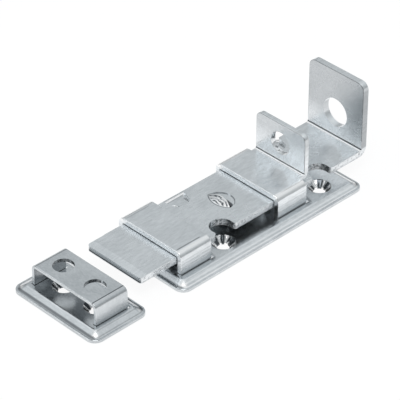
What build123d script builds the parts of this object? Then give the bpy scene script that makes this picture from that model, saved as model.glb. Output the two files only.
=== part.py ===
from build123d import *

import os
from math import atan2, sqrt, tan

# Padlockable sliding door bolt with its keeper, all sizes in millimetres.
# The origin is the centre of the four door screws, on the door's surface. +Z points away from the door,
# -X is the way the bolt shoots towards the keeper, and Y runs across the bolt.

# Pressed plates, one section for the base plate and the keeper plate
sheet = 1.3
platform_height = 3.0
rim_width = 1.0
bevel_run = 2.9
plate_corner = 4.2
platform_corner = 1.5
platform_edge_round = 2.0
rim_inner_round = 1.8
rim_edge_round = 0.35

# Door screws: countersunk holes, pressed down into the hollow under the platform
screw_spacing_x = 54.0
screw_spacing_y = 27.0
screw_hole = 5.0
screw_head = 9.6
seat_wall = 1.2
seat_edge_round = 0.25

# Base plate, measured from the screws
plate_width = 48.5
front_margin = 32.0
rear_margin = 15.0

# Sliding bolt, in the open position that clears the screws
bolt_width = 30.0
bolt_thickness = 3.0
bolt_nose_reach = 13.2
nose_lead_length = 3.4
nose_lead_drop = 0.35
nose_corner = 1.2
bolt_edge_round = 0.25
upstand_setback = 7.6
upstand_height = 41.2
upstand_corner = 3.5
upstand_bend = 1.0
notch_radius = 5.0
notch_depth = 7.5
notch_mouth_round = 1.4

# Stop pip between the guides: a half-moon dome pressed up out of the bolt, with a sheared step and a shallow
# recess behind it
pip_from_nose = 57.6
pip_width = 12.4
pip_front_radius = 8.9
pip_rear_radius = 13.0
pip_height = 1.3
pip_wall = 3.0
tear_width = 0.9
tear_depth = 1.3
recess_length = 4.8
recess_depth = 0.4
ridge_count = 3
ridge_pitch = 1.2
ridge_width = 0.5
ridge_height = 0.35

# Running room of the bolt
slide_gap = 0.25
stop_gap = 0.3

# Guides: bent straps with their legs staked through the base plate
runner_height = 3.9
strap_sheet = 2.4
strap_length = 16.2
strap_bend = 0.6
strap_edge_round = 0.4
front_guide_inset = 5.5
rear_guide_to_screws = 11.6
slot_gap = 0.2
slot_tail = 1.2
stake_spread = 0.8
stake_height = 0.9

# Runners: low bosses pressed up under the guides, which the bolt slides on
runner_length = 12.0
runner_width = 14.0
runner_draft = 1.2
runner_corner = 2.5
runner_edge_round = 0.8

# Fixed lug, bent up at the rear of the rear guide
lug_width = 27.2
lug_height = 30.7
lug_setback = 2.5
lug_bend = 0.8
lug_corner = 3.0

# Padlock holes
padlock_height = 21.5
lug_hole = 10.2
upstand_hole = 13.0

# Keeper
keeper_distance = 16.6
keeper_length = 28.2
keeper_width = 47.2
keeper_screw_spacing = 17.8
keeper_strap_sheet = 1.5
keeper_strap_length = 16.2
keeper_strap_width = 36.3
keeper_strap_bend = 1.0
keeper_strap_gap = 0.8
access_hole = 8.6

# Heights
platform_underside = platform_height - sheet
bolt_underside = platform_height + runner_height + slide_gap
bolt_top = bolt_underside + bolt_thickness
strap_underside = bolt_top + slide_gap
strap_top = strap_underside + strap_sheet
keeper_strap_top = bolt_top + keeper_strap_gap + keeper_strap_sheet

# Places along the bolt
plate_front = -screw_spacing_x / 2 - front_margin
plate_rear = screw_spacing_x / 2 + rear_margin
front_guide_x = plate_front + front_guide_inset
rear_guide_x = screw_spacing_x / 2 - rear_guide_to_screws - strap_length
lug_front = rear_guide_x + strap_length + lug_setback
lug_rear = lug_front + strap_sheet
bolt_nose = plate_front - bolt_nose_reach
upstand_front = plate_rear + upstand_setback
upstand_rear = upstand_front + bolt_thickness
pip_x = bolt_nose + pip_from_nose
pip_rear_sag = pip_rear_radius - sqrt(pip_rear_radius ** 2 - (pip_width / 2) ** 2)
pip_front_sag = pip_front_radius - sqrt(pip_front_radius ** 2 - (pip_width / 2) ** 2)
pip_front = pip_x - pip_rear_sag - pip_front_sag
keeper_x = plate_front - keeper_distance - keeper_length / 2

# Places across the bolt
strap_width = bolt_width + 2 * slide_gap + 2 * strap_sheet
notch_y = bolt_width / 2 - notch_depth + notch_radius

LOW = (Align.CENTER, Align.CENTER, Align.MIN)
LOW_FRONT = (Align.MIN, Align.CENTER, Align.MIN)


def edges_at_height(shape, height):
    """The shape's edges that lie wholly at one height."""
    return shape.edges().filter_by_position(Axis.Z, height - 0.01, height + 0.01)


def block(x_start, x_end, width, z_start, z_end):
    """A box centred on the bolt's axis, given by its ends."""
    size = Box(x_end - x_start, width, z_end - z_start, align=LOW_FRONT)
    return Pos(x_start, 0, z_start) * size


def rounded(length, width, corner, height):
    """A rounded rectangle, lying at a height."""
    return Pos(0, 0, height) * RectangleRounded(length, width, corner)


def pressed_plate(length, width):
    """A plate with a flat rim, a bevel and a raised platform, hollow underneath."""
    foot_length = length - 2 * rim_width
    foot_width = width - 2 * rim_width
    top_length = foot_length - 2 * bevel_run
    top_width = foot_width - 2 * bevel_run
    foot_corner = plate_corner - rim_width
    raised = loft([rounded(foot_length, foot_width, foot_corner, sheet),
                   rounded(top_length, top_width, platform_corner, platform_height)])
    raised = fillet(edges_at_height(raised, platform_height), platform_edge_round)
    rim = extrude(rounded(length, width, plate_corner, 0), sheet)
    rim = fillet(edges_at_height(rim, sheet), rim_edge_round)
    plate = rim + raised
    inner = [edge for edge in edges_at_height(plate, sheet)
             if abs(edge.center().X) < foot_length / 2 + 0.01 and abs(edge.center().Y) < foot_width / 2 + 0.01]
    plate = fillet(inner, rim_inner_round)

    slope = atan2(platform_underside, bevel_run)
    shift = 2 * sheet * tan(slope / 2)
    hollow = loft([rounded(foot_length - shift, foot_width - shift, foot_corner - shift / 2, 0),
                   rounded(top_length - shift, top_width - shift, platform_corner - shift / 2, platform_underside)])
    return plate - hollow


def screw_seats(places):
    """The countersunk seats at the given places: what they add under the platform and what they cut."""
    cone_depth = (screw_head - screw_hole) / 2
    seat_foot = screw_hole / 2 + seat_wall
    wall = Cone(seat_foot, seat_foot + platform_underside, platform_underside, align=LOW)
    bore = Cylinder(screw_hole / 2, platform_height, align=LOW)
    cone = Pos(0, 0, platform_height - cone_depth) * Cone(screw_hole / 2, screw_head / 2, cone_depth, align=LOW)
    added = [Pos(x, y, 0) * wall for x, y in places]
    removed = [Pos(x, y, 0) * (bore + cone) for x, y in places]
    return added, removed


def round_seat_edges(plate):
    """Rounds the upper edges of the countersinks."""
    circles = edges_at_height(plate, platform_height).filter_by(GeomType.CIRCLE)
    rims = [edge for edge in circles if abs(edge.radius - screw_head / 2) < 0.01]
    return fillet(rims, seat_edge_round)


def leg_slots(x_start, length, width, thickness):
    """The pair of slots for a strap's legs, a little longer than the legs at their rear."""
    slot = Box(length + slot_gap + slot_tail, thickness + 2 * slot_gap, platform_height, align=LOW_FRONT)
    leg_y = (width - thickness) / 2
    return [Pos(x_start - slot_gap, y, 0) * slot for y in (-leg_y, leg_y)]


def strap(length, width, thickness, bend, top):
    """A strap bent into a bridge along X, with its legs down through the platform and staked under it."""
    outer = block(0, length, width, platform_underside, top)
    outer = fillet(edges_at_height(outer, top).filter_by(Axis.X), bend + thickness)
    inner = block(0, length, width - 2 * thickness, platform_underside, top - thickness)
    inner = fillet(edges_at_height(inner, top - thickness).filter_by(Axis.X), bend)
    bridge = outer - inner
    sides = [edge for edge in bridge.edges()
             if edge.center().Z > platform_height
             and (abs(edge.center().X) < 0.01 or abs(edge.center().X - length) < 0.01)
             and abs(edge.bounding_box().size.X) < 0.01]
    bridge = fillet(sides, strap_edge_round)
    stake = Box(length, thickness + 2 * stake_spread, stake_height, align=LOW_FRONT)
    leg_y = (width - thickness) / 2
    for y in (-leg_y, leg_y):
        bridge += Pos(0, y, platform_underside - stake_height) * stake
    return bridge


def runners(x_start):
    """One runner boss under a guide: the boss and the hollow under it."""
    x = x_start + strap_length / 2
    top = platform_height + runner_height
    low = rounded(runner_length + 2 * runner_draft, runner_width + 2 * runner_draft, runner_corner, platform_underside)
    high = rounded(runner_length, runner_width, runner_corner, top)
    boss = loft([low, high])
    boss = fillet(edges_at_height(boss, top), runner_edge_round)
    inside_low = rounded(runner_length + 2 * runner_draft - 2 * sheet, runner_width + 2 * runner_draft - 2 * sheet,
                         runner_corner - sheet / 2, 0)
    inside_high = rounded(runner_length - 2 * sheet, runner_width - 2 * sheet, runner_corner - sheet / 2, top - sheet)
    return Pos(x, 0, 0) * boss, Pos(x, 0, 0) * loft([inside_low, inside_high])


def make_base_plate():
    """The pressed base plate with its screw seats, leg slots and runners."""
    length = plate_rear - plate_front
    plate = Pos((plate_rear + plate_front) / 2, 0, 0) * pressed_plate(length, plate_width)
    places = [(x, y) for x in (-screw_spacing_x / 2, screw_spacing_x / 2)
              for y in (-screw_spacing_y / 2, screw_spacing_y / 2)]
    added, removed = screw_seats(places)
    for x_start in (front_guide_x, rear_guide_x):
        boss, hollow = runners(x_start)
        added.append(boss)
        removed.append(hollow)
        removed += leg_slots(x_start, strap_length, strap_width, strap_sheet)
    for piece in added:
        plate += piece
    for piece in removed:
        plate -= piece
    return round_seat_edges(plate)


def make_front_guide():
    """The guide nearer the bolt's nose."""
    return Pos(front_guide_x, 0, 0) * strap(strap_length, strap_width, strap_sheet, strap_bend, strap_top)


def make_rear_guide():
    """The rear guide, with the fixed padlock lug bent up behind its bridge."""
    guide = Pos(rear_guide_x, 0, 0) * strap(strap_length, strap_width, strap_sheet, strap_bend, strap_top)
    tongue = block(lug_front - lug_setback - strap_sheet, lug_rear, lug_width, strap_underside, strap_top)
    lug = tongue + block(lug_front, lug_rear, lug_width, strap_underside, lug_height)
    across = lug.edges().filter_by(Axis.Y)
    heel = across.filter_by_position(Axis.Z, strap_underside - 0.01, strap_underside + 0.01).sort_by(Axis.X)[-1]
    lug = fillet(heel, lug_bend + strap_sheet)
    across = lug.edges().filter_by(Axis.Y)
    crook = [edge for edge in across
             if abs(edge.center().X - lug_front) < 0.01 and abs(edge.center().Z - strap_top) < 0.01]
    lug = fillet(crook, lug_bend)
    lug = fillet(edges_at_height(lug, lug_height).filter_by(Axis.X), lug_corner)
    outline = [edge for edge in lug.edges()
               if edge.center().Z > strap_top + lug_bend + 0.01 and abs(edge.bounding_box().size.X) < 0.01]
    lug = fillet(outline, strap_edge_round)
    hole = Pos((lug_front + lug_rear) / 2, 0, padlock_height) * Rot(0, 90, 0) * Cylinder(lug_hole / 2, 4 * strap_sheet)
    return guide + lug - hole


def make_pip():
    """The stop pip, its step at the origin of the bolt's top face: the dome, the recess and the dent under it.

    The recess is deepest in the tear along the step."""
    front_centre = pip_front - pip_x + pip_front_radius
    step = Pos(-pip_rear_radius, 0, 0) * Cylinder(pip_rear_radius, 8 * pip_height)

    def cap(base, height):
        depth = (pip_front_radius ** 2 - front_centre ** 2 - height ** 2) / (2 * height)
        ball = Pos(front_centre, 0, base - depth) * Sphere(sqrt(pip_front_radius ** 2 + depth ** 2))
        return ball & Pos(0, 0, base) * Box(4 * pip_width, 4 * pip_width, 4 * pip_height, align=LOW)

    dome = cap(0, pip_height) & step
    high_dome = cap(0, pip_height + ridge_height) & step
    for i in range(ridge_count):
        outer = pip_rear_radius - i * ridge_pitch
        ring = Cylinder(outer, 8 * pip_height) - Cylinder(outer - ridge_width, 8 * pip_height)
        dome += high_dome & Pos(-pip_rear_radius, 0, 0) * ring
    oval = Pos(-pip_rear_sag, 0, -tear_depth) * Ellipse(recess_length + pip_rear_sag, pip_width / 2)
    behind = extrude(oval, tear_depth) - step
    tear_edge = Pos(-pip_rear_radius, 0, 0) * Cylinder(pip_rear_radius + tear_width, 8 * pip_height)
    floor = Box(4 * pip_width, 4 * pip_width, tear_depth - recess_depth, align=LOW)
    recess = behind - (Pos(0, 0, -tear_depth) * floor - tear_edge)
    dent = cap(-bolt_thickness, bolt_thickness + pip_height - pip_wall) & step
    return dome, recess, dent


def make_sliding_bolt():
    """The flat bar, its notches, stop pip and the moving lug bent up at its rear."""
    bar = block(bolt_nose, upstand_rear, bolt_width, bolt_underside, bolt_top)
    bolt = bar + block(upstand_front, upstand_rear, bolt_width, bolt_underside, upstand_height)
    across = bolt.edges().filter_by(Axis.Y)
    heel = across.filter_by_position(Axis.Z, bolt_underside - 0.01, bolt_underside + 0.01).sort_by(Axis.X)[-1]
    bolt = fillet(heel, upstand_bend + bolt_thickness)
    crook = [edge for edge in bolt.edges().filter_by(Axis.Y)
             if abs(edge.center().X - upstand_front) < 0.01 and abs(edge.center().Z - bolt_top) < 0.01]
    bolt = fillet(crook, upstand_bend)
    bolt = fillet(edges_at_height(bolt, upstand_height).filter_by(Axis.X), upstand_corner)
    nose_edges = bolt.edges().filter_by(Axis.Z).sort_by(Axis.X)[:2]
    bolt = fillet(nose_edges, nose_corner)

    outline = [edge for edge in bolt.edges()
               if abs(abs(edge.center().Y) - bolt_width / 2) < 0.01 and abs(edge.bounding_box().size.Y) < 0.01]
    bolt = fillet(outline, bolt_edge_round)

    lead_start = bolt_nose + nose_lead_length
    lead = make_face(Plane.XZ * Polyline((bolt_nose - 1, bolt_top + 1), (lead_start, bolt_top + 1),
                                         (lead_start, bolt_top), (bolt_nose, bolt_top - nose_lead_drop),
                                         (bolt_nose - 1, bolt_top - nose_lead_drop), close=True))
    bolt -= extrude(lead, bolt_width, both=True)

    for x in (-screw_spacing_x / 2, screw_spacing_x / 2):
        for side in (-1, 1):
            bolt -= notch(x, side)

    dome, recess, dent = make_pip()
    place = Pos(pip_x, 0, bolt_top)
    bolt = bolt + place * dome - place * recess - place * dent
    hole = Pos((upstand_front + upstand_rear) / 2, 0, padlock_height) * Rot(0, 90, 0)
    return bolt - hole * Cylinder(upstand_hole / 2, 4 * bolt_thickness)


def notch(x, side):
    """The cutter for one half-round notch, with a rounded mouth, on the side +1 or -1."""
    edge_y = bolt_width / 2
    strip = Pos(0, edge_y + notch_radius) * Rectangle(6 * notch_radius, 2 * notch_radius)
    shape = strip + Pos(0, notch_y) * Circle(notch_radius)
    mouth = [corner for corner in shape.vertices()
             if abs(corner.Y - edge_y) < 0.01 and abs(corner.X) < notch_radius]
    shape = fillet(mouth, notch_mouth_round)
    turned = Rot(0, 0, 0 if side > 0 else 180) * shape
    return Pos(x, 0, bolt_underside - 1) * extrude(turned, bolt_thickness + 2)


def keeper_screws():
    """The keeper's two screw places."""
    return [(keeper_x, y) for y in (-keeper_screw_spacing / 2, keeper_screw_spacing / 2)]


def make_keeper_plate():
    """The small pressed plate under the keeper strap."""
    plate = Pos(keeper_x, 0, 0) * pressed_plate(keeper_length, keeper_width)
    added, removed = screw_seats(keeper_screws())
    removed += leg_slots(keeper_x - keeper_strap_length / 2, keeper_strap_length, keeper_strap_width,
                         keeper_strap_sheet)
    for piece in added:
        plate += piece
    for piece in removed:
        plate -= piece
    return round_seat_edges(plate)


def make_keeper_strap():
    """The bridge that takes the bolt's nose, with access holes above the screws."""
    bridge = strap(keeper_strap_length, keeper_strap_width, keeper_strap_sheet, keeper_strap_bend, keeper_strap_top)
    bridge = Pos(keeper_x - keeper_strap_length / 2, 0, 0) * bridge
    for x, y in keeper_screws():
        bridge -= Pos(x, y, keeper_strap_top) * Cylinder(access_hole / 2, 4 * keeper_strap_sheet)
    return bridge


pieces = {
    "base_plate": make_base_plate(),
    "front_guide": make_front_guide(),
    "rear_guide": make_rear_guide(),
    "sliding_bolt": make_sliding_bolt(),
    "keeper_plate": make_keeper_plate(),
    "keeper_strap": make_keeper_strap(),
}

os.makedirs("parts", exist_ok=True)
for name, piece in pieces.items():
    export_step(piece, f"parts/{name}.step")

# Travel of the bolt from the open position: closed, its pip meets the front guide, and drawn right back, the
# step behind the pip meets the rear guide.
travel_to_close = pip_front - (front_guide_x + strap_length) - stop_gap
travel_to_draw_back = rear_guide_x - pip_x - stop_gap
print(f"travel to close {travel_to_close:.2f} mm, travel to draw back {travel_to_draw_back:.2f} mm")
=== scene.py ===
# Bright zinc-plated door bolt and keeper on a plain pale floor, in soft studio light.
# Lengths are in metres.
import math

import bpy
from mathutils import Matrix, Vector

# The two pressed plates: centre along x, length and width, and what they share
base_outline = (-0.0085, 0.101, 0.0485)
keeper_outline = (-0.0897, 0.0282, 0.0472)
plate_corner = 0.0042
cut_edge_height = 0.0008
platform_height = 0.0030
bevel_reach = 0.0040

# The countersinks, and the access holes above the keeper's
screw_x = 0.027
screw_y = 0.0135
keeper_x = -0.0897
keeper_screw_y = 0.0089
seat_radius = 0.0048
access_radius = 0.0043

# The bolt: its flat part, notches and stop pip
bolt_half_width = 0.0150
bolt_bottom = 0.00715
bolt_top = 0.01015
bolt_nose = -0.0722
notches_reach = 0.0335
pip_x = -0.0146
pip_half_width = 0.0062
pip_span = (-0.0250, -0.0100)
pip_rear_radius = 0.0130
pip_front_centre = -0.00979
pip_front_radius = 0.0089
pip_rear_sag = 0.00157
ridge_pitch = 0.0012
ridge_width = 0.0005
arc_count = 4

# The straps and the two padlock lugs
guide_top = 0.0128
keeper_strap_top = 0.01245
keeper_strap_underside = 0.01095
keeper_strap_inside = 0.01665
fixed_lug_front = 0.0179
moving_lug_front = 0.0496
padlock_height = 0.0215
fixed_lug_hole_radius = 0.0051

# Paint: the tints that the masks lay over the plating, including painted highlights, painted shade and
# painted reflections
mottle_tint = (0.34, 0.36, 0.38)
shear_tint = (0.40, 0.42, 0.44)
flake_dark = (0.10, 0.11, 0.12)
flake_light = (0.96, 0.97, 0.98)
highlight_tint = (0.99, 0.99, 0.99)
dull_and_shade_tint = (0.07, 0.08, 0.09)
painted_facet_dark = (0.05, 0.06, 0.07)

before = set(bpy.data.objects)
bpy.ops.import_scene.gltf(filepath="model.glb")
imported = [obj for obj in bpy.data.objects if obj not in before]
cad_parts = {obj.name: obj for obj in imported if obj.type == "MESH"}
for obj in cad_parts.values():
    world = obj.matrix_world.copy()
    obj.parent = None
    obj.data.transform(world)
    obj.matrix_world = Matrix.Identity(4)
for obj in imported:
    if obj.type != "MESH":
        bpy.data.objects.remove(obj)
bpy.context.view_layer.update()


def new_material(name):
    """An empty node material and its tree."""
    material = bpy.data.materials.new(name)
    material.use_nodes = True
    tree = material.node_tree
    tree.nodes.clear()
    return material, tree


def add(tree, kind, **values):
    """A node with its settings."""
    node = tree.nodes.new(kind)
    for key, value in values.items():
        setattr(node, key, value)
    return node


def noise(tree, coords, stretch, scale, detail, roughness=0.5):
    """Noise over the object's own coordinates, in cells per millimetre, stretched along the axes."""
    mapping = add(tree, "ShaderNodeMapping")
    mapping.inputs["Scale"].default_value = [1000.0 * scale / s for s in stretch]
    tree.links.new(coords.outputs["Object"], mapping.inputs["Vector"])
    texture = add(tree, "ShaderNodeTexNoise")
    texture.inputs["Scale"].default_value = 1.0
    texture.inputs["Detail"].default_value = detail
    texture.inputs["Roughness"].default_value = roughness
    tree.links.new(mapping.outputs["Vector"], texture.inputs["Vector"])
    return texture.outputs["Fac"]


def remap(tree, value, low, high, to_low, to_high):
    """A value moved from one range to another, and held at its ends."""
    node = add(tree, "ShaderNodeMapRange")
    node.inputs["From Min"].default_value = low
    node.inputs["From Max"].default_value = high
    node.inputs["To Min"].default_value = to_low
    node.inputs["To Max"].default_value = to_high
    tree.links.new(value, node.inputs["Value"])
    return node.outputs["Result"]


def rise(tree, value, low, high, top=1.0):
    """0 below a range and top above it."""
    return remap(tree, value, low, high, 0.0, top)


def fall(tree, value, low, high, top=1.0):
    """top below a range and 0 above it."""
    return remap(tree, value, low, high, top, 0.0)


def calculate(tree, operation, *values):
    """A math node over sockets or plain numbers."""
    node = add(tree, "ShaderNodeMath", operation=operation)
    for socket, value in zip(node.inputs, values):
        if isinstance(value, (int, float)):
            socket.default_value = value
        else:
            tree.links.new(value, socket)
    return node.outputs["Value"]


def plus(tree, first, second):
    """The sum of two values."""
    return calculate(tree, "ADD", first, second)


def minus(tree, first, second):
    """The difference of two values."""
    return calculate(tree, "SUBTRACT", first, second)


def absolute(tree, value):
    """A value without its sign."""
    return calculate(tree, "ABSOLUTE", value)


def product(tree, *values):
    """The product of several values."""
    result = values[0]
    for value in values[1:]:
        result = calculate(tree, "MULTIPLY", result, value)
    return result


def strongest(tree, *masks):
    """The largest of several masks."""
    result = masks[0]
    for mask in masks[1:]:
        result = calculate(tree, "MAXIMUM", result, mask)
    return result


def band(tree, value, low, high, soft):
    """1 where a value lies between two limits, with soft ends."""
    above = rise(tree, value, low - soft, low + soft)
    return product(tree, above, fall(tree, value, high - soft, high + soft))


def distance(tree, first, second):
    """The length of a vector of two components."""
    squares = plus(tree, product(tree, first, first), product(tree, second, second))
    return calculate(tree, "SQRT", squares)


def split(tree, vector):
    """The three components of a vector."""
    node = add(tree, "ShaderNodeSeparateXYZ")
    tree.links.new(vector, node.inputs["Vector"])
    return node.outputs["X"], node.outputs["Y"], node.outputs["Z"]


def mix_colour(tree, factor, first, second):
    """A blend of two colours, of which each is a socket or three numbers."""
    node = add(tree, "ShaderNodeMix", data_type="RGBA")
    tree.links.new(factor, node.inputs["Factor"])
    for key, colour in (("A", first), ("B", second)):
        if isinstance(colour, tuple):
            node.inputs[key].default_value = (*colour, 1.0)
        else:
            tree.links.new(colour, node.inputs[key])
    return node.outputs["Result"]


def scratches(tree, coords, turn, scale):
    """Thin sparse scratches in one direction."""
    mapping = add(tree, "ShaderNodeMapping")
    mapping.inputs["Rotation"].default_value = (0.0, 0.0, turn)
    mapping.inputs["Scale"].default_value = (12.0 * scale, 1000.0 * scale, 1000.0 * scale)
    tree.links.new(coords.outputs["Object"], mapping.inputs["Vector"])
    texture = add(tree, "ShaderNodeTexNoise")
    texture.inputs["Scale"].default_value = 1.0
    texture.inputs["Detail"].default_value = 1.0
    tree.links.new(mapping.outputs["Vector"], texture.inputs["Vector"])
    return rise(tree, texture.outputs["Fac"], 0.70, 0.76)


def steep(tree, place):
    """1 on upright faces and 0 on level ones."""
    return fall(tree, place["level"], 0.3, 0.5)


def seat_facets(tree, place, centre_x, centre_y):
    """Chatter marks round the countersinks: their height, and a mask that is 1 on the cones.

    The seats lie at plus and minus centre_y, and at plus and minus centre_x where it is positive."""
    x = place["x"]
    turn = 1.0
    if centre_x > 0:
        turn = calculate(tree, "SIGN", x)
        x = absolute(tree, x)
    x = minus(tree, x, centre_x)
    y = minus(tree, absolute(tree, place["y"]), centre_y)
    near = fall(tree, distance(tree, x, y), seat_radius - 0.0002, seat_radius + 0.0001)
    mask = product(tree, near, fall(tree, place["z"], platform_height - 0.00015, platform_height))
    angle = calculate(tree, "ARCTAN2", y, x)
    uneven = product(tree, calculate(tree, "SINE", product(tree, angle, 3.0)), 0.8)
    wave = calculate(tree, "SINE", plus(tree, product(tree, angle, 6.0), uneven))
    return product(tree, wave, mask, turn), mask


def inset(tree, first, second, half_first, half_second, corner):
    """How far inside a rounded rectangle a point lies, from its distances to the centre lines."""
    over_first = minus(tree, absolute(tree, first), half_first - corner)
    over_second = minus(tree, absolute(tree, second), half_second - corner)
    outside = distance(tree, calculate(tree, "MAXIMUM", over_first, 0.0),
                       calculate(tree, "MAXIMUM", over_second, 0.0))
    inside = calculate(tree, "MINIMUM", strongest(tree, over_first, over_second), 0.0)
    return minus(tree, corner, plus(tree, outside, inside))


def plate_depth(tree, place, outline):
    """How far inside a plate's outline a point lies, and a mask that is 1 at its sides and 0 at its ends."""
    centre_x, length, width = outline
    from_centre = minus(tree, place["x"], centre_x)
    depth = inset(tree, from_centre, place["y"], length / 2, width / 2, plate_corner)
    from_end = minus(tree, length / 2, absolute(tree, from_centre))
    from_side = minus(tree, width / 2, absolute(tree, place["y"]))
    return depth, rise(tree, minus(tree, from_end, from_side), -0.0008, 0.0008)


def side_lines(tree, depth, side, lines):
    """Lines along a plate's sides, each as its lowest and highest depth and its strength."""
    marks = []
    for low, high, strength in lines:
        marks.append(product(tree, band(tree, depth, low, high, 0.0002), strength))
    return product(tree, strongest(tree, *marks), side)


def rim_groove_shade(outline, reach, end_strength, lines):
    """Painted shade along the line where a plate's bevel rises from its rim at the ends, and finer painted
    shade lines at its sides.
    """
    def mask(tree, place):
        depth, side = plate_depth(tree, place, outline)
        ends = product(tree, band(tree, depth, 0.00085, reach, 0.00025),
                       fall(tree, side, 0.0, 1.0, end_strength))
        marks = strongest(tree, ends, side_lines(tree, depth, side, lines))
        return product(tree, marks, rise(tree, place["z"], cut_edge_height, 0.0011))
    return mask


def painted_rim_highlights(outline, lines):
    """Painted highlight lines along a plate's sides."""
    def mask(tree, place):
        depth, side = plate_depth(tree, place, outline)
        marks = side_lines(tree, depth, side, lines)
        return product(tree, marks, rise(tree, place["z"], cut_edge_height, 0.0011))
    return mask


def painted_corner_highlight(outline):
    """Painted highlight on the corners of a plate's bevel."""
    def mask(tree, place):
        centre_x, length, width = outline
        across_x = absolute(tree, minus(tree, place["x"], centre_x))
        over_x = rise(tree, across_x, length / 2 - bevel_reach, length / 2 - bevel_reach + 0.0008)
        across_y = absolute(tree, place["y"])
        over_y = rise(tree, across_y, width / 2 - bevel_reach, width / 2 - bevel_reach + 0.0008)
        return product(tree, over_x, over_y, rise(tree, place["z"], 0.0014, 0.0018))
    return mask


def foot_shade(half_width, spans, strength):
    """Painted shadow on a plate beside the straps' legs, which go through it over the given spans of x."""
    def mask(tree, place):
        across = band(tree, absolute(tree, place["y"]), half_width, half_width + 0.0005, 0.0001)
        beside = strongest(tree, *[band(tree, place["x"], low, high, 0.0002) for low, high in spans])
        on_top = rise(tree, place["z"], platform_height - 0.0003, platform_height - 0.0001, strength)
        return product(tree, across, beside, on_top)
    return mask


def from_keeper_hole(tree, place):
    """The distance from the axis of the nearest screw hole of the keeper."""
    x = minus(tree, place["x"], keeper_x)
    return distance(tree, x, minus(tree, absolute(tree, place["y"]), keeper_screw_y))


def keeper_seat_shade(tree, place):
    """Painted shade in the keeper's countersinks, which lie under its bridge, darker than the ones of the
    base plate.
    """
    near = fall(tree, from_keeper_hole(tree, place), seat_radius - 0.0002, seat_radius + 0.0001)
    return product(tree, near, fall(tree, place["z"], platform_height - 0.00015, platform_height, 0.65))


def access_walls(tree, place):
    """The walls of the keeper's access holes."""
    near = fall(tree, from_keeper_hole(tree, place), access_radius + 0.00005, access_radius + 0.0002)
    return product(tree, near, steep(tree, place))


def access_shade(tree, place):
    """Painted shade on the walls of the keeper's access holes."""
    return product(tree, access_walls(tree, place), 0.5)


def keeper_inside_shade(tree, place):
    """Painted shade on the inner faces of the keeper's bridge, weaker on the far side."""
    y, z = place["y"], place["z"]
    within = fall(tree, absolute(tree, y), keeper_strap_inside + 0.00002, keeper_strap_inside + 0.00007)
    far_side = remap(tree, y, 0.010, 0.014, 1.0, 0.55)
    below = fall(tree, z, keeper_strap_underside + 0.00001, keeper_strap_underside + 0.00005, 0.62)
    return product(tree, within, far_side, below)


def leg_lines(heights, strength):
    """Drawing lines along a strap's legs."""
    def mask(tree, place):
        z = place["z"]
        lines = [band(tree, z, height - 0.00012, height + 0.00012, 0.0001) for height in heights]
        return product(tree, strongest(tree, *lines), steep(tree, place), rise(tree, z, 0.0, 0.001, strength))
    return mask


def leg_foot(low, top, strength):
    """Darker towards the foot of a strap's legs."""
    def mask(tree, place):
        return product(tree, steep(tree, place), fall(tree, place["z"], low, top, strength))
    return mask


def bend_crease_shade(start_y, x_low, x_high, height, strength=0.8):
    """Painted shade along the crease of a strap's bends, fainter on the far side."""
    def mask(tree, place):
        x, y, z = (place[axis] for axis in "xyz")
        line = product(tree, band(tree, absolute(tree, y), start_y - 0.0002, start_y + 0.0002, 0.0001),
                       remap(tree, y, -0.001, 0.001, 1.0, 0.4))
        across = band(tree, x, x_low, x_high, 0.0004)
        return product(tree, line, across, rise(tree, z, height - 0.0006, height - 0.0002, strength))
    return mask


def painted_bend_light(start, end, strength):
    """The outside of a strap's bends, for a painted highlight where it brightens and painted shade where it
    darkens.
    """
    def mask(tree, place):
        across = band(tree, absolute(tree, place["y"]), start, end, 0.0004)
        return product(tree, across, rise(tree, place["z"], 0.0108, 0.0114, strength))
    return mask


def lug_edge_shade(front, half_width, top, corner, strength):
    """Painted shade along the rounded edge of a lug's front face."""
    def mask(tree, place):
        depth = inset(tree, place["y"], place["z"], half_width, top, corner)
        edge = product(tree, fall(tree, depth, 0.0002, 0.0004, strength),
                       band(tree, place["x"], front - 0.0002, front + 0.0002, 0.0001))
        return product(tree, edge, rise(tree, place["z"], 0.0135, 0.0145))
    return mask


def upright_face_shade(low, high, strength):
    """Painted shade on the upright faces of a lug."""
    def mask(tree, place):
        return product(tree, steep(tree, place), rise(tree, place["z"], low, high, strength))
    return mask


def fold_shade(front, low):
    """Painted shade on the dark half of the fold at the foot of a lug."""
    def mask(tree, place):
        up = band(tree, place["z"], low + 0.0003, low + 0.00075, 0.0001)
        return product(tree, up, band(tree, place["x"], front - 0.0012, front + 0.0002, 0.0001))
    return mask


def fold_highlight(front, low):
    """Painted highlight on the bright half of the fold at the foot of a lug."""
    def mask(tree, place):
        up = band(tree, place["z"], low - 0.0001, low + 0.0002, 0.0001)
        return product(tree, up, band(tree, place["x"], front - 0.0013, front - 0.0003, 0.0001))
    return mask


def hole_wall(radius, height):
    """The sheared wall of a padlock hole."""
    def mask(tree, place):
        away = distance(tree, place["y"], minus(tree, place["z"], height))
        return fall(tree, away, radius - 0.00005, radius + 0.00015)
    return mask


def bolt_walls(tree, place):
    """The sheared walls of the bolt's notches, plainer on the far side."""
    across = absolute(tree, place["y"])
    within = product(tree, fall(tree, across, bolt_half_width - 0.00045, bolt_half_width - 0.0002),
                     band(tree, place["x"], -notches_reach, notches_reach, 0.0002))
    near = remap(tree, place["y"], -0.001, 0.001, 0.75, 0.35)
    through = band(tree, place["z"], bolt_bottom + 0.00005, bolt_top - 0.00005, 0.0001)
    return product(tree, within, near, steep(tree, place), through)


def bolt_sides(tree, place):
    """The rough rolled sides of the bolt."""
    out = rise(tree, absolute(tree, place["y"]), bolt_half_width - 0.0003, bolt_half_width - 0.0001, 0.35)
    return product(tree, out, band(tree, place["z"], bolt_bottom + 0.00025, bolt_top - 0.00025, 0.0001))


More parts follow.
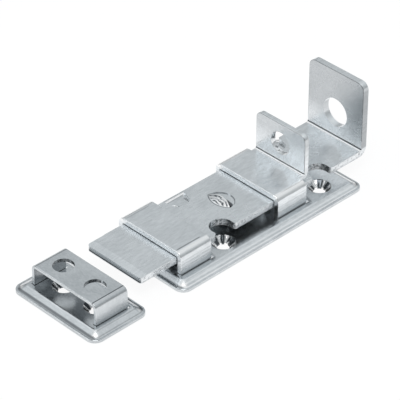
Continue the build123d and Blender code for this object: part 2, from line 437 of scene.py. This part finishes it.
def nose_line(tree, place):
    """Darker bands on the lower half of the bolt's front face."""
    front = product(tree, fall(tree, place["x"], bolt_nose + 0.0003, bolt_nose + 0.0005), steep(tree, place))
    lines = strongest(tree, product(tree, band(tree, place["z"], 0.0076, 0.0082, 0.0001), front),
                      product(tree, band(tree, place["z"], 0.0082, 0.0091, 0.0001), 0.3))
    return product(tree, front, lines)


def moving_lug_sides(tree, place):
    """The duller sheared sides of the moving lug."""
    out = rise(tree, absolute(tree, place["y"]), bolt_half_width - 0.0002, bolt_half_width, 0.5)
    return product(tree, out, rise(tree, place["z"], bolt_top + 0.00025, bolt_top + 0.00105))


def ridge_radius(tree, place):
    """The distance from the centre of the stop pip's step, a little uneven."""
    away = distance(tree, minus(tree, place["x"], pip_x - pip_rear_radius), place["y"])
    wander = noise(tree, place["coords"], (1, 1, 1), 0.45, 1)
    return plus(tree, away, remap(tree, wander, 0.3, 0.7, -0.0003, 0.0003))


def pip_patches(tree, place):
    """Noise patches over which the stop pip's painted highlights and shade vary in strength."""
    return noise(tree, place["coords"], (1, 1, 1), 0.8, 1)


def ridge_bands(tree, away, inner, outer):
    """Arcs that follow the stop pip's ridges, between two depths behind each ridge's edge."""
    edges = [pip_rear_radius - ridge_pitch * i for i in range(arc_count)]
    return strongest(tree, *[band(tree, away, edge - inner, edge - outer, 0.0001) for edge in edges])


def pip_shade(tree, place):
    """Painted shade in the hollows between the stop pip's ridges, at its foot, over its dome, and in the tear
    and recess behind its step.
    """
    x, y, z = (place[axis] for axis in "xyz")
    away = ridge_radius(tree, place)
    near = product(tree, band(tree, x, *pip_span, 0.0002),
                   fall(tree, absolute(tree, y), pip_half_width - 0.0001, pip_half_width + 0.0001))
    above = product(tree, rise(tree, z, bolt_top + 0.0001, bolt_top + 0.00025),
                    remap(tree, pip_patches(tree, place), 0.42, 0.58, 0.95, 0.35))
    hollows = product(tree, ridge_bands(tree, away, ridge_pitch - 0.0001, ridge_width + 0.0001), above)
    tear = product(tree, fall(tree, z, bolt_top - 0.0006, bolt_top - 0.00035),
                   band(tree, away, pip_rear_radius - 0.0001, pip_rear_radius + 0.0012, 0.0001))
    wedge = product(tree, band(tree, away, pip_rear_radius - 0.0001, pip_rear_radius + 0.0019, 0.0002),
                    fall(tree, y, -0.0020, -0.0005, 0.9),
                    fall(tree, z, bolt_top - 0.0003, bolt_top - 0.00015))
    from_front_centre = distance(tree, minus(tree, x, pip_front_centre), y)
    foot = product(tree, band(tree, from_front_centre, pip_front_radius - 0.0002,
                              pip_front_radius + 0.00015, 0.0001),
                   rise(tree, z, bolt_top - 0.00015, bolt_top - 0.00005, 0.75))
    dome = rise(tree, z, bolt_top + 0.00015, bolt_top + 0.00055, 0.12)
    pressed = product(tree, near, strongest(tree, hollows, tear, wedge, foot, dome))
    from_recess_centre = distance(tree, minus(tree, x, pip_x - pip_rear_sag), y)
    outline = product(tree, band(tree, from_recess_centre, pip_half_width - 0.0002,
                                 pip_half_width + 0.0002, 0.0001),
                      band(tree, x, -0.0135, -0.005, 0.0003))
    outline = product(tree, outline, remap(tree, y, -0.002, 0.002, 1.0, 0.3))
    return strongest(tree, pressed, product(tree, outline, rise(tree, z, 0.0096, 0.0099, 0.7)))


def pip_ridge_highlights(tree, place):
    """Painted highlights on the crests of the stop pip's ridges, uneven in strength."""
    crests = ridge_bands(tree, ridge_radius(tree, place), ridge_width, 0.0)
    return product(tree, band(tree, place["x"], *pip_span, 0.0002), crests,
                   rise(tree, place["z"], bolt_top + 0.0001, bolt_top + 0.00025),
                   remap(tree, pip_patches(tree, place), 0.35, 0.50, 0.6, 1.0))


def zinc(name, light, dark, polish, brush, grain, shear=None, seats=None, dull_and_shade=(), bright=(), torn=()):
    """Bright zinc plating: cloudy patches, fine grain, scratches, and rolling marks along the brush.

    polish is the roughness and grain the fineness of the speckle. shear is (height, strength): cut edges
    below that height are duller. seats is the place of the countersinks, whose facets get painted
    reflections. The last three arguments are lists of masks: duller lines and painted shade, painted
    highlights, and sheared walls."""
    material, tree = new_material(name)
    coords = add(tree, "ShaderNodeTexCoord")
    place = dict(zip("xyz", split(tree, coords.outputs["Object"])))
    level = absolute(tree, split(tree, coords.outputs["Normal"])[2])
    place["level"] = level
    place["coords"] = coords
    clouds = noise(tree, coords, (1, 1, 1), 0.09, 3)
    marks = noise(tree, coords, brush, 2.4, 3, 0.6)
    speckle = noise(tree, coords, (1, 1, 1), grain, 4, 0.6)
    mottle = noise(tree, coords, [math.sqrt(size) for size in brush], 0.9, 2, 0.55)
    lines = plus(tree, scratches(tree, coords, 0.5, 1.3), scratches(tree, coords, -0.9, 1.1))

    colour = mix_colour(tree, rise(tree, plus(tree, clouds, marks), 0.8, 1.2), dark, light)
    colour = mix_colour(tree, rise(tree, mottle, 0.40, 0.62, 0.12), colour, mottle_tint)
    rough = remap(tree, clouds, 0.35, 0.65, polish - 0.01, polish + 0.01)
    if shear:
        height, strength = shear
        uneven = plus(tree, place["z"], remap(tree, marks, 0.3, 0.7, -0.0002, 0.0002))
        cut = product(tree, fall(tree, level, 0.35, 0.6, strength),
                      fall(tree, uneven, height - 0.0001, height + 0.0002))
        colour = mix_colour(tree, cut, colour, shear_tint)
        rough = plus(tree, rough, product(tree, cut, 0.25))
    if torn:
        walls = strongest(tree, *[mask(tree, place) for mask in torn])
        flakes = rise(tree, noise(tree, coords, (1, 1, 1), 1.1, 3, 0.65), 0.50, 0.60)
        between = fall(tree, flakes, 0.0, 0.5, 0.8)
        colour = mix_colour(tree, product(tree, walls, flakes), colour, flake_dark)
        colour = mix_colour(tree, product(tree, walls, between), colour, flake_light)
    # Painted highlights: near-white colour where light would glint on corners, rims, bends, folds and ridges.
    if bright:
        lit = strongest(tree, *[mask(tree, place) for mask in bright])
        colour = mix_colour(tree, lit, colour, highlight_tint)
    # Duller lines and painted shade: darker colour where shade would fall in creases, grooves, holes and
    # under parts.
    if dull_and_shade:
        shade = strongest(tree, *[mask(tree, place) for mask in dull_and_shade])
        colour = mix_colour(tree, shade, colour, dull_and_shade_tint)

    relief = plus(tree, rise(tree, marks, 0.0, 1.0, 0.6), rise(tree, speckle, 0.0, 1.0, 0.4))
    relief = plus(tree, relief, product(tree, lines, -0.35))
    bump = add(tree, "ShaderNodeBump")
    bump.inputs["Strength"].default_value = 0.5
    bump.inputs["Distance"].default_value = 0.00003
    tree.links.new(relief, bump.inputs["Height"])
    if seats:
        wave, mask = seat_facets(tree, place, *seats)
        facets = add(tree, "ShaderNodeBump")
        facets.inputs["Strength"].default_value = 0.9
        facets.inputs["Distance"].default_value = 0.00030
        tree.links.new(wave, facets.inputs["Height"])
        tree.links.new(facets.outputs["Normal"], bump.inputs["Normal"])
        rough = product(tree, rough, remap(tree, mask, 0.0, 1.0, 1.0, 0.45))
        # Painted reflections: dark and bright wedges on the countersinks' facets.
        colour = mix_colour(tree, rise(tree, wave, 0.0, 0.2, 0.92), colour, painted_facet_dark)
        colour = mix_colour(tree, fall(tree, wave, -0.25, -0.05), colour, highlight_tint)

    shader = add(tree, "ShaderNodeBsdfPrincipled")
    shader.inputs["Metallic"].default_value = 1.0
    shader.inputs["IOR"].default_value = 1.6
    tree.links.new(colour, shader.inputs["Base Color"])
    tree.links.new(rough, shader.inputs["Roughness"])
    tree.links.new(bump.outputs["Normal"], shader.inputs["Normal"])
    output = add(tree, "ShaderNodeOutputMaterial")
    tree.links.new(shader.outputs["BSDF"], output.inputs["Surface"])
    return material


along = (9, 1, 1)
finishes = {
    "base_plate": zinc(
        "base_plate_zinc", (0.83, 0.86, 0.88), (0.71, 0.74, 0.76), 0.22, (5, 1, 1), 1.6,
        shear=(cut_edge_height, 0.3), seats=(screw_x, screw_y),
        dull_and_shade=[rim_groove_shade(base_outline, 0.0016, 0.65, ((0.00165, 0.0019, 0.2), (0.0032, 0.0037, 0.12))),
              foot_shade(0.01775, ((-0.0537, -0.0368), (-0.0010, 0.0159)), 0.6)],
        bright=[painted_corner_highlight(base_outline),
                painted_rim_highlights(base_outline, ((0.0010, 0.0013, 0.8), (0.0022, 0.0027, 0.5)))]),
    # Painted shade: the keeper's plating is given a darker colour than the other parts.
    "keeper_plate": zinc(
        "keeper_plate_zinc", (0.73, 0.76, 0.78), (0.60, 0.63, 0.65), 0.22, (1, 5, 1), 1.6,
        shear=(cut_edge_height, 0.3), seats=(keeper_x, keeper_screw_y),
        dull_and_shade=[rim_groove_shade(keeper_outline, 0.0019, 0.75, ((0.0012, 0.0016, 0.4), (0.0033, 0.0037, 0.35))),
              keeper_seat_shade, foot_shade(0.01825, ((-0.0980, -0.0811),), 0.35)],
        bright=[painted_corner_highlight(keeper_outline)]),
    "front_guide": zinc(
        "front_guide_zinc", (0.88, 0.91, 0.93), (0.77, 0.80, 0.82), 0.25, along, 1.8,
        dull_and_shade=[bend_crease_shade(0.0142, -0.0525, -0.0405, guide_top), leg_lines((0.0062, 0.0078, 0.0092), 0.25),
              leg_foot(0.0036, 0.0062, 0.10)],
        bright=[painted_bend_light(0.0149, 0.0168, 0.7)]),
    "rear_guide": zinc(
        "rear_guide_zinc", (0.91, 0.94, 0.96), (0.80, 0.83, 0.85), 0.24, along, 1.8,
        dull_and_shade=[fold_shade(fixed_lug_front, guide_top), leg_lines((0.0058, 0.0083), 0.22),
              leg_foot(0.0036, 0.0062, 0.10), lug_edge_shade(fixed_lug_front, 0.0136, 0.0307, 0.003, 0.6),
              upright_face_shade(0.0185, 0.0260, 0.26)],
        bright=[fold_highlight(fixed_lug_front, guide_top), painted_bend_light(0.0146, 0.0170, 1.0)],
        torn=[hole_wall(fixed_lug_hole_radius, padlock_height)]),
    # Painted shade: the keeper's strap is given a darker colour than the other parts.
    "keeper_strap": zinc(
        "keeper_strap_zinc", (0.73, 0.76, 0.78), (0.60, 0.63, 0.65), 0.26, (1, 4, 1), 1.8,
        dull_and_shade=[bend_crease_shade(0.0159, -0.0979, -0.0815, keeper_strap_top, 1.0), keeper_inside_shade,
              leg_foot(0.0036, 0.0075, 0.08), access_shade, painted_bend_light(0.0162, 0.0180, 0.10)],
        torn=[access_walls]),
    "sliding_bolt": zinc(
        "sliding_bolt_zinc", (0.87, 0.90, 0.92), (0.76, 0.79, 0.81), 0.27, along, 2.0,
        shear=(0.0080, 0.35),
        dull_and_shade=[fold_shade(moving_lug_front, bolt_top), pip_shade, nose_line, moving_lug_sides,
              lug_edge_shade(moving_lug_front, bolt_half_width, 0.0412, 0.0035, 0.7),
              upright_face_shade(0.0150, 0.0230, 0.33)],
        bright=[fold_highlight(moving_lug_front, bolt_top), pip_ridge_highlights],
        torn=[bolt_walls, bolt_sides]),
}
for node, finish in finishes.items():
    for slot in bpy.data.objects[node].material_slots:
        slot.material = finish


def make_floor():
    """The pale floor, which the camera sees nearly white."""
    mesh = bpy.data.meshes.new("floor")
    reach = 40.0
    drop = -0.0002
    corners = [(-reach, -reach, drop), (reach, -reach, drop), (reach, reach, drop), (-reach, reach, drop)]
    mesh.from_pydata(corners, [], [(0, 1, 2, 3)])
    floor = bpy.data.objects.new("floor", mesh)
    bpy.context.scene.collection.objects.link(floor)
    material, tree = new_material("floor_paper")
    paper = add(tree, "ShaderNodeBsdfDiffuse")
    paper.inputs["Color"].default_value = (0.86, 0.87, 0.88, 1.0)
    white = add(tree, "ShaderNodeEmission")
    white.inputs["Color"].default_value = (1.0, 1.0, 1.0, 1.0)
    white.inputs["Strength"].default_value = 1.06
    path = add(tree, "ShaderNodeLightPath")
    rays = [path.outputs[f"Is {ray} Ray"] for ray in ("Camera", "Glossy", "Transmission")]
    mix = add(tree, "ShaderNodeMixShader")
    tree.links.new(product(tree, strongest(tree, *rays), 0.85), mix.inputs["Fac"])
    tree.links.new(paper.outputs["BSDF"], mix.inputs[1])
    tree.links.new(white.outputs["Emission"], mix.inputs[2])
    output = add(tree, "ShaderNodeOutputMaterial")
    tree.links.new(mix.outputs["Shader"], output.inputs["Surface"])
    mesh.materials.append(material)


def make_world():
    """A light tent: bright overhead, darker lower down, with a dim opening and a white horizon."""
    world = bpy.data.worlds.new("tent")
    world.use_nodes = True
    tree = world.node_tree
    tree.nodes.clear()
    coords = add(tree, "ShaderNodeTexCoord")
    x, y, z = split(tree, coords.outputs["Generated"])
    ramp = add(tree, "ShaderNodeValToRGB")
    elements = ramp.color_ramp.elements
    elements[0].position = 0.0
    elements[0].color = (0.14, 0.15, 0.15, 1.0)
    elements[1].position = 1.0
    elements[1].color = (0.90, 0.90, 0.90, 1.0)
    for position, level in ((0.22, 0.40), (0.55, 0.56), (0.75, 0.75)):
        element = elements.new(position)
        element.color = (level * 0.96, level, level * 1.02, 1.0)
    across = plus(tree, product(tree, x, 0.57), product(tree, y, -0.8))
    lifted = strongest(tree, z, rise(tree, across, 0.5, 0.95, 0.3))
    tree.links.new(lifted, ramp.inputs["Fac"])
    side = plus(tree, product(tree, x, -0.70), product(tree, y, -0.71))
    opening = remap(tree, side, 0.15, 0.55, 1.0, 0.55)
    horizon = fall(tree, z, 0.09, 0.12)
    background = add(tree, "ShaderNodeBackground")
    tree.links.new(strongest(tree, opening, horizon), background.inputs["Strength"])
    tent = mix_colour(tree, horizon, ramp.outputs["Color"], (1.0, 1.0, 1.0))
    tree.links.new(tent, background.inputs["Color"])
    output = add(tree, "ShaderNodeOutputWorld")
    tree.links.new(background.outputs["Background"], output.inputs["Surface"])
    bpy.context.scene.world = world


def softbox(name, place, size, power, aim=(-0.02, 0.0, 0.0)):
    """A square area light aimed at the object."""
    light = bpy.data.lights.new(name, "AREA")
    light.shape = "SQUARE"
    light.size = size
    light.energy = power
    lamp = bpy.data.objects.new(name, light)
    lamp.location = place
    lamp.rotation_euler = (Vector(aim) - Vector(place)).to_track_quat("-Z", "Y").to_euler()
    bpy.context.scene.collection.objects.link(lamp)


def make_camera():
    """The camera, from the viewing angle, target and focal length fitted to the photograph."""
    azimuth = math.radians(-44.125)
    elevation = math.radians(35.634)
    target = Vector((-0.01108, 0.01592, 0.0))
    camera_distance = 1.0134
    focal_length_px = 2536.0
    frame_px = 400.0
    forward = Vector((-math.sin(azimuth) * math.cos(elevation), math.cos(azimuth) * math.cos(elevation),
                      -math.sin(elevation)))
    right = Vector((math.cos(azimuth), math.sin(azimuth), 0.0))
    up = right.cross(forward)
    data = bpy.data.cameras.new("camera")
    data.sensor_width = 36.0
    data.lens = focal_length_px / frame_px * data.sensor_width
    data.clip_end = 100.0
    camera = bpy.data.objects.new("camera", data)
    turn = Matrix((right, up, -forward)).transposed().to_4x4()
    camera.matrix_world = Matrix.Translation(target - forward * camera_distance) @ turn
    bpy.context.scene.collection.objects.link(camera)
    bpy.context.scene.camera = camera


make_floor()
make_world()
softbox("overhead", (-0.29, -0.28, 0.90), 0.45, 2.2)
softbox("back", (-0.17, 0.55, 0.75), 0.42, 0.13)
softbox("left", (-0.9, 0.5, 0.6), 0.4, 0.8)
make_camera()
bpy.context.scene.view_settings.view_transform = "Standard"
